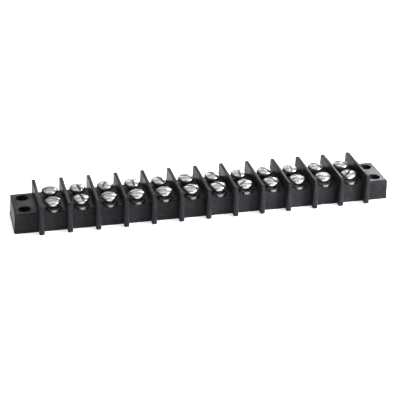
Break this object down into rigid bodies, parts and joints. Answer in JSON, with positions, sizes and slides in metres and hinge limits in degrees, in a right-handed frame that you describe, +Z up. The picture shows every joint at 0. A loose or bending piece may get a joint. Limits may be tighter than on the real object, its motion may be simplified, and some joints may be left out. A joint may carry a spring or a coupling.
{
  "type": "barrier terminal strip",
  "caption": "Double-row barrier terminal strip: dark moulded body with thin barriers between the poles, slotted screws over plated brass strips, and drilled end blocks.",
  "frame": {"origin": "middle of the strip's length and depth, on the surface it stands on", "axes": "+X along the poles, -Y towards the front row of screws, +Z up out of the mounting face"},
  "size_m": [0.1322, 0.0226, 0.0108],
  "materials": {
    "moulded_body": "satin black moulding with softly glossy faces",
    "terminal_plating": "nickel plated, dull",
    "screw_plating": "nickel plated, bright, with turned and struck marks"
  },
  "bodies": {
    "strip": {"housing": "moulded_body", "terminal_1": "terminal_plating", "terminal_2": "terminal_plating", "terminal_3": "terminal_plating", "terminal_4": "terminal_plating", "terminal_5": "terminal_plating", "terminal_6": "terminal_plating", "terminal_7": "terminal_plating", "terminal_8": "terminal_plating", "terminal_9": "terminal_plating", "terminal_10": "terminal_plating", "terminal_11": "terminal_plating", "terminal_12": "terminal_plating"},
    "screw_front_1": {"screw_front_1": "screw_plating"},
    "screw_front_2": {"screw_front_2": "screw_plating"},
    "screw_front_3": {"screw_front_3": "screw_plating"},
    "screw_front_4": {"screw_front_4": "screw_plating"},
    "screw_front_5": {"screw_front_5": "screw_plating"},
    "screw_front_6": {"screw_front_6": "screw_plating"},
    "screw_front_7": {"screw_front_7": "screw_plating"},
    "screw_front_8": {"screw_front_8": "screw_plating"},
    "screw_front_9": {"screw_front_9": "screw_plating"},
    "screw_front_10": {"screw_front_10": "screw_plating"},
    "screw_front_11": {"screw_front_11": "screw_plating"},
    "screw_front_12": {"screw_front_12": "screw_plating"},
    "screw_rear_1": {"screw_rear_1": "screw_plating"},
    "screw_rear_2": {"screw_rear_2": "screw_plating"},
    "screw_rear_3": {"screw_rear_3": "screw_plating"},
    "screw_rear_4": {"screw_rear_4": "screw_plating"},
    "screw_rear_5": {"screw_rear_5": "screw_plating"},
    "screw_rear_6": {"screw_rear_6": "screw_plating"},
    "screw_rear_7": {"screw_rear_7": "screw_plating"},
    "screw_rear_8": {"screw_rear_8": "screw_plating"},
    "screw_rear_9": {"screw_rear_9": "screw_plating"},
    "screw_rear_10": {"screw_rear_10": "screw_plating"},
    "screw_rear_11": {"screw_rear_11": "screw_plating"},
    "screw_rear_12": {"screw_rear_12": "screw_plating"}
  },
  "joints": [
    {"name": "screw_front_1_travel", "type": "slide", "parent": "strip", "child": "screw_front_1", "axis": [0, 0, 1], "range_m": [-0.001, 0.003]},
    {"name": "screw_front_2_travel", "type": "slide", "parent": "strip", "child": "screw_front_2", "axis": [0, 0, 1], "range_m": [-0.001, 0.003]},
    {"name": "screw_front_3_travel", "type": "slide", "parent": "strip", "child": "screw_front_3", "axis": [0, 0, 1], "range_m": [-0.001, 0.003]},
    {"name": "screw_front_4_travel", "type": "slide", "parent": "strip", "child": "screw_front_4", "axis": [0, 0, 1], "range_m": [-0.001, 0.003]},
    {"name": "screw_front_5_travel", "type": "slide", "parent": "strip", "child": "screw_front_5", "axis": [0, 0, 1], "range_m": [-0.001, 0.003]},
    {"name": "screw_front_6_travel", "type": "slide", "parent": "strip", "child": "screw_front_6", "axis": [0, 0, 1], "range_m": [-0.001, 0.003]},
    {"name": "screw_front_7_travel", "type": "slide", "parent": "strip", "child": "screw_front_7", "axis": [0, 0, 1], "range_m": [-0.001, 0.003]},
    {"name": "screw_front_8_travel", "type": "slide", "parent": "strip", "child": "screw_front_8", "axis": [0, 0, 1], "range_m": [-0.001, 0.003]},
    {"name": "screw_front_9_travel", "type": "slide", "parent": "strip", "child": "screw_front_9", "axis": [0, 0, 1], "range_m": [-0.001, 0.003]},
    {"name": "screw_front_10_travel", "type": "slide", "parent": "strip", "child": "screw_front_10", "axis": [0, 0, 1], "range_m": [-0.001, 0.003]},
    {"name": "screw_front_11_travel", "type": "slide", "parent": "strip", "child": "screw_front_11", "axis": [0, 0, 1], "range_m": [-0.001, 0.003]},
    {"name": "screw_front_12_travel", "type": "slide", "parent": "strip", "child": "screw_front_12", "axis": [0, 0, 1], "range_m": [-0.001, 0.003]},
    {"name": "screw_rear_1_travel", "type": "slide", "parent": "strip", "child": "screw_rear_1", "axis": [0, 0, 1], "range_m": [-0.001, 0.003]},
    {"name": "screw_rear_2_travel", "type": "slide", "parent": "strip", "child": "screw_rear_2", "axis": [0, 0, 1], "range_m": [-0.001, 0.003]},
    {"name": "screw_rear_3_travel", "type": "slide", "parent": "strip", "child": "screw_rear_3", "axis": [0, 0, 1], "range_m": [-0.001, 0.003]},
    {"name": "screw_rear_4_travel", "type": "slide", "parent": "strip", "child": "screw_rear_4", "axis": [0, 0, 1], "range_m": [-0.001, 0.003]},
    {"name": "screw_rear_5_travel", "type": "slide", "parent": "strip", "child": "screw_rear_5", "axis": [0, 0, 1], "range_m": [-0.001, 0.003]},
    {"name": "screw_rear_6_travel", "type": "slide", "parent": "strip", "child": "screw_rear_6", "axis": [0, 0, 1], "range_m": [-0.001, 0.003]},
    {"name": "screw_rear_7_travel", "type": "slide", "parent": "strip", "child": "screw_rear_7", "axis": [0, 0, 1], "range_m": [-0.001, 0.003]},
    {"name": "screw_rear_8_travel", "type": "slide", "parent": "strip", "child": "screw_rear_8", "axis": [0, 0, 1], "range_m": [-0.001, 0.003]},
    {"name": "screw_rear_9_travel", "type": "slide", "parent": "strip", "child": "screw_rear_9", "axis": [0, 0, 1], "range_m": [-0.001, 0.003]},
    {"name": "screw_rear_10_travel", "type": "slide", "parent": "strip", "child": "screw_rear_10", "axis": [0, 0, 1], "range_m": [-0.001, 0.003]},
    {"name": "screw_rear_11_travel", "type": "slide", "parent": "strip", "child": "screw_rear_11", "axis": [0, 0, 1], "range_m": [-0.001, 0.003]},
    {"name": "screw_rear_12_travel", "type": "slide", "parent": "strip", "child": "screw_rear_12", "axis": [0, 0, 1], "range_m": [-0.001, 0.003]}
  ]
}
